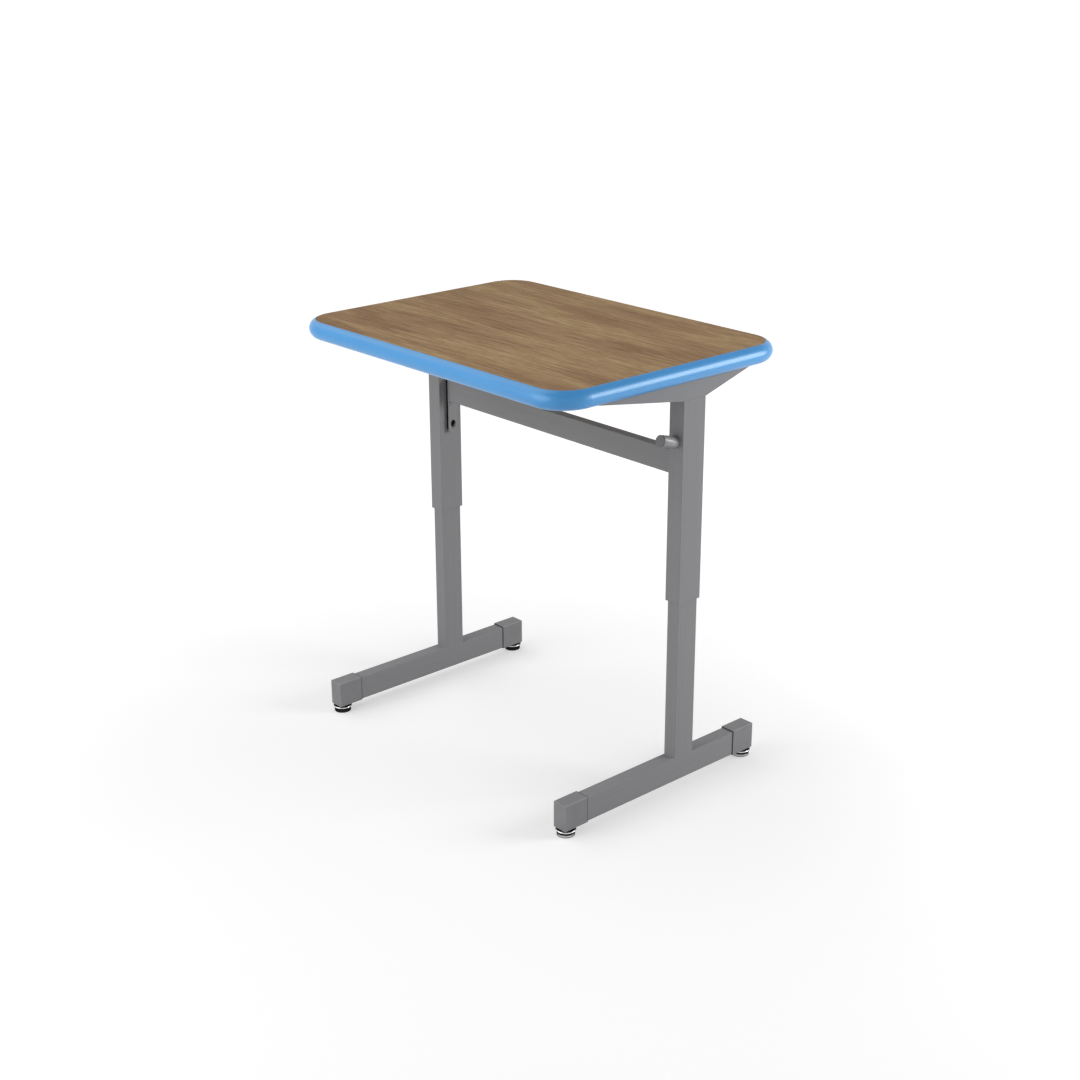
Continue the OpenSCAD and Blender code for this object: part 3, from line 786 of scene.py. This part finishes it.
# Weld beads in the inner corners of the steel frame
BEAD_SIDES = 10
BEAD_STEP = 0.6 * MM
BEAD_RIPPLE = 0.10
RIPPLE_PITCH = 2.6 * MM
TAPER_STEPS = 4
ARC_STEPS = 6


def resampled(points, closed):
    """Points along a path at about even steps."""
    loop = points + points[:1] if closed else points
    spaced = []
    for a, b in zip(loop, loop[1:]):
        count = max(1, round((b - a).length / BEAD_STEP))
        spaced += [a.lerp(b, k / count) for k in range(count)]
    return spaced if closed else spaced + [points[-1]]


def weld_bead(name, points, plane, size, body, closed):
    """A rippled bead along a flat path, half sunk in the two faces that it joins."""
    path = resampled(points, closed)
    count = len(path)
    verts, faces = [], []
    run = 0.0
    for i, place in enumerate(path):
        before = path[i - 1] if closed or i > 0 else place
        after = path[(i + 1) % count] if closed or i < count - 1 else place
        tangent = (after - before).normalized()
        across = tangent.cross(plane)
        run += (place - before).length
        taper = 1.0 if closed else min(1.0, (1 + min(i, count - 1 - i)) / TAPER_STEPS)
        radius = size * taper * (1 + BEAD_RIPPLE * sin(2 * pi * run / RIPPLE_PITCH))
        for k in range(BEAD_SIDES):
            turn = 2 * pi * k / BEAD_SIDES
            verts.append(place + across * (radius * cos(turn)) + plane * (radius * sin(turn)))
    for i in range(count if closed else count - 1):
        a, b = i * BEAD_SIDES, ((i + 1) % count) * BEAD_SIDES
        for k in range(BEAD_SIDES):
            n = (k + 1) % BEAD_SIDES
            faces.append((a + k, a + n, b + n, b + k))
    if not closed:
        faces.append(tuple(range(BEAD_SIDES)))
        faces.append(tuple(range((count - 1) * BEAD_SIDES, count * BEAD_SIDES)))
    new_piece(name, verts, faces, "frame", body)


def rounded_loop(low, high, radius, to_point):
    """Corner-rounded rectangle as points, from two lower and two upper coordinates."""
    points = []
    for sa, sb, start in ((1, 1, 0), (-1, 1, 1), (-1, -1, 2), (1, -1, 3)):
        a0 = (high[0] if sa > 0 else low[0]) - sa * radius
        b0 = (high[1] if sb > 0 else low[1]) - sb * radius
        for k in range(ARC_STEPS + 1):
            turn = pi / 2 * (start + k / ARC_STEPS)
            points.append(to_point(a0 + radius * cos(turn), b0 + radius * sin(turn)))
    return points


TUBE_CORNER = 0.8 * MM
LEG_BEAD = 1.7 * MM
BAR_BEAD = 1.4 * MM
PEG_BEAD = 1.2 * MM
PEG_POINTS = 72

for side in SIDES:
    leg_low, leg_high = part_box(f"lower_leg_{side}")
    foot_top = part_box(f"foot_tube_{side}")[1][2]
    for end, face_y in (("front", leg_low[1]), ("rear", leg_high[1])):
        flat_side = (leg_low[0] + TUBE_CORNER, leg_high[0] - TUBE_CORNER)
        bead_ends = [Vector((x, face_y, foot_top)) for x in flat_side]
        weld_bead(f"foot_weld_{side}_{end}", bead_ends, AXIS_Z, LEG_BEAD, f"{side}_foot", closed=False)

bar_low, bar_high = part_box("crossbar")
for side, bar_end in (("left", bar_low[0]), ("right", bar_high[0])):
    loop = rounded_loop((bar_low[1], bar_low[2]), (bar_high[1], bar_high[2]), TUBE_CORNER,
                        lambda a, b: Vector((bar_end, a, b)))
    weld_bead(f"crossbar_weld_{side}", loop, AXIS_X, BAR_BEAD, "upper_frame", closed=True)


def peg_weld():
    """Bead round the oval where the tilted peg meets the leg's front face."""
    face_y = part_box("bag_peg")[1][1]
    rim = [p for p in islands("bag_peg")[0] if p.y > face_y - WELD_GAP]
    mid_x = (min(p.x for p in rim) + max(p.x for p in rim)) / 2
    mid_z = (min(p.z for p in rim) + max(p.z for p in rim)) / 2
    half_x = max(p.x for p in rim) - mid_x
    half_z = max(p.z for p in rim) - mid_z
    oval = []
    for k in range(PEG_POINTS):
        turn = 2 * pi * k / PEG_POINTS
        oval.append(Vector((mid_x + half_x * cos(turn), face_y, mid_z + half_z * sin(turn))))
    weld_bead("bag_peg_weld", oval, AXIS_Y, PEG_BEAD, "upper_frame", closed=True)


peg_weld()


# Camera, at the photograph's place
CAMERA_PLACE = Vector((2.1921, -1.94379, 1.48111))
CAMERA_AZIMUTH = 48.29
CAMERA_ELEVATION = 20.59
CAMERA_ROLL = -0.19
CAMERA_LENS = 58.18
SENSOR_WIDTH = 36.0
NEAREST, FARTHEST = 0.01, 200.0


def add_camera():
    """The scene's camera, aimed by azimuth, elevation and roll in degrees."""
    data = bpy.data.cameras.new("camera")
    data.lens = CAMERA_LENS
    data.sensor_width = SENSOR_WIDTH
    data.clip_start = NEAREST
    data.clip_end = FARTHEST
    obj = bpy.data.objects.new("camera", data)
    turn = Euler((radians(90 - CAMERA_ELEVATION), 0, radians(CAMERA_AZIMUTH))).to_matrix().to_4x4()
    roll = Matrix.Rotation(radians(CAMERA_ROLL), 4, "Z")
    obj.matrix_world = Matrix.Translation(CAMERA_PLACE) @ turn @ roll
    bpy.context.scene.collection.objects.link(obj)
    bpy.context.scene.camera = obj


# Stage: a white floor that keeps the shadow, a white surround and soft light
WHITE = (1, 1, 1, 1)
FLOOR_HALF = 60.0
FLOOR_COLOUR = (0.70, 0.70, 0.70, 1)
# Glow of the floor where it is seen, which rises away from a place in front of the right foot
GLOW_MIDDLE = (0.45, -0.45, 0)
NEAR_LIFT, NEAR_REACH = 0.38, 0.7
FAR_LIFT, FAR_REACH = 0.66, 2.2
SKY_LIGHT = 0.36
# Brightness of the ceiling in reflections, and how steeply upwards it starts and is full
CEILING, CEILING_FROM, CEILING_FULL = 0.40, 0.40, 0.70
# Strength, direction that the light comes from, and angle across in degrees
SUNS = {
    "overhead": (0.64, Vector((-0.62, -0.15, 0.77)), 50.0),
}
LAMP_AIM = Vector((0, 0, 0.45))
# Power in watts, place and size across
LAMPS = {
    "side": (28.5, Vector((1.75, 1.5, 1.0)), 1.25),
    "front": (31.0, Vector((-0.5, -2.4, 1.3)), 2.4),
}


def seen_directly(tree):
    """1 on camera, glossy and transmission rays, and 0 on the rays that carry light."""
    path = tree.nodes.new("ShaderNodeLightPath")
    total = path.outputs["Is Camera Ray"]
    for name in ("Is Glossy Ray", "Is Transmission Ray"):
        either = tree.nodes.new("ShaderNodeMath")
        either.operation = "MAXIMUM"
        tree.links.new(total, either.inputs[0])
        tree.links.new(path.outputs[name], either.inputs[1])
        total = either.outputs[0]
    return total


def add_floor():
    """A pale floor that looks white and keeps the shadow. It is clear when seen from below."""
    mesh = bpy.data.meshes.new("floor")
    corners = [(x * FLOOR_HALF, y * FLOOR_HALF, 0) for x, y in ((-1, -1), (1, -1), (1, 1), (-1, 1))]
    mesh.from_pydata(corners, [], [(0, 1, 2, 3)])
    floor = bpy.data.objects.new("floor", mesh)
    bpy.context.scene.collection.objects.link(floor)
    material = bpy.data.materials.new("floor_white")
    material.use_nodes = True
    tree = material.node_tree
    tree.nodes.clear()
    diffuse = tree.nodes.new("ShaderNodeBsdfDiffuse")
    diffuse.inputs["Color"].default_value = FLOOR_COLOUR
    lift = tree.nodes.new("ShaderNodeEmission")
    distance = tree.nodes.new("ShaderNodeVectorMath")
    distance.operation = "DISTANCE"
    distance.inputs[1].default_value = GLOW_MIDDLE
    tree.links.new(tree.nodes.new("ShaderNodeTexCoord").outputs["Object"], distance.inputs[0])
    rise = tree.nodes.new("ShaderNodeMapRange")
    rise.interpolation_type = "SMOOTHSTEP"
    tree.links.new(distance.outputs["Value"], rise.inputs["Value"])
    set_range(rise, NEAR_REACH, FAR_REACH, NEAR_LIFT, FAR_LIFT)
    lift_strength = tree.nodes.new("ShaderNodeMath")
    lift_strength.operation = "MULTIPLY"
    tree.links.new(rise.outputs[0], lift_strength.inputs[1])
    tree.links.new(seen_directly(tree), lift_strength.inputs[0])
    tree.links.new(lift_strength.outputs[0], lift.inputs["Strength"])
    both = tree.nodes.new("ShaderNodeAddShader")
    tree.links.new(diffuse.outputs[0], both.inputs[0])
    tree.links.new(lift.outputs[0], both.inputs[1])
    below = tree.nodes.new("ShaderNodeMixShader")
    tree.links.new(tree.nodes.new("ShaderNodeNewGeometry").outputs["Backfacing"], below.inputs[0])
    tree.links.new(both.outputs[0], below.inputs[1])
    tree.links.new(tree.nodes.new("ShaderNodeBsdfTransparent").outputs[0], below.inputs[2])
    output = tree.nodes.new("ShaderNodeOutputMaterial")
    tree.links.new(below.outputs[0], output.inputs[0])
    mesh.materials.append(material)


def add_world():
    """Even light from all round, and plain white where it is seen, with a grey ceiling in reflections."""
    world = bpy.data.worlds.new("surround")
    world.use_nodes = True
    tree = world.node_tree
    tree.nodes.clear()
    light = tree.nodes.new("ShaderNodeBackground")
    light.inputs["Strength"].default_value = SKY_LIGHT
    light.inputs["Color"].default_value = WHITE
    white = tree.nodes.new("ShaderNodeBackground")
    white.inputs["Color"].default_value = WHITE
    parts = tree.nodes.new("ShaderNodeSeparateXYZ")
    tree.links.new(tree.nodes.new("ShaderNodeTexCoord").outputs["Generated"], parts.inputs[0])
    ceiling = tree.nodes.new("ShaderNodeMapRange")
    tree.links.new(parts.outputs["Z"], ceiling.inputs["Value"])
    set_range(ceiling, CEILING_FROM, CEILING_FULL, 1, CEILING)
    seen_by_camera = tree.nodes.new("ShaderNodeMath")
    seen_by_camera.operation = "MAXIMUM"
    tree.links.new(tree.nodes.new("ShaderNodeLightPath").outputs["Is Camera Ray"], seen_by_camera.inputs[0])
    tree.links.new(ceiling.outputs[0], seen_by_camera.inputs[1])
    tree.links.new(seen_by_camera.outputs[0], white.inputs["Strength"])
    choose = tree.nodes.new("ShaderNodeMixShader")
    output = tree.nodes.new("ShaderNodeOutputWorld")
    tree.links.new(seen_directly(tree), choose.inputs[0])
    tree.links.new(light.outputs[0], choose.inputs[1])
    tree.links.new(white.outputs[0], choose.inputs[2])
    tree.links.new(choose.outputs[0], output.inputs[0])
    bpy.context.scene.world = world


def add_sun(name, strength, comes_from, angle):
    """A wide, soft light from far away."""
    data = bpy.data.lights.new(name, "SUN")
    data.energy = strength
    data.angle = radians(angle)
    obj = bpy.data.objects.new(name, data)
    obj.rotation_mode = "QUATERNION"
    obj.rotation_quaternion = (-comes_from).to_track_quat("-Z", "Y")
    bpy.context.scene.collection.objects.link(obj)


def add_lamp(name, power, place, size):
    """A round soft lamp that points at the desk and is not seen itself."""
    data = bpy.data.lights.new(name, "AREA")
    data.shape = "DISK"
    data.size = size
    data.energy = power
    obj = bpy.data.objects.new(name, data)
    obj.location = place
    obj.rotation_mode = "QUATERNION"
    obj.rotation_quaternion = (LAMP_AIM - place).to_track_quat("-Z", "Y")
    obj.visible_camera = False
    bpy.context.scene.collection.objects.link(obj)


add_camera()
add_floor()
add_world()
for sun_name, sun in SUNS.items():
    add_sun(sun_name, *sun)
for lamp_name, lamp in LAMPS.items():
    add_lamp(lamp_name, *lamp)
bpy.context.scene.view_settings.view_transform = "Standard"
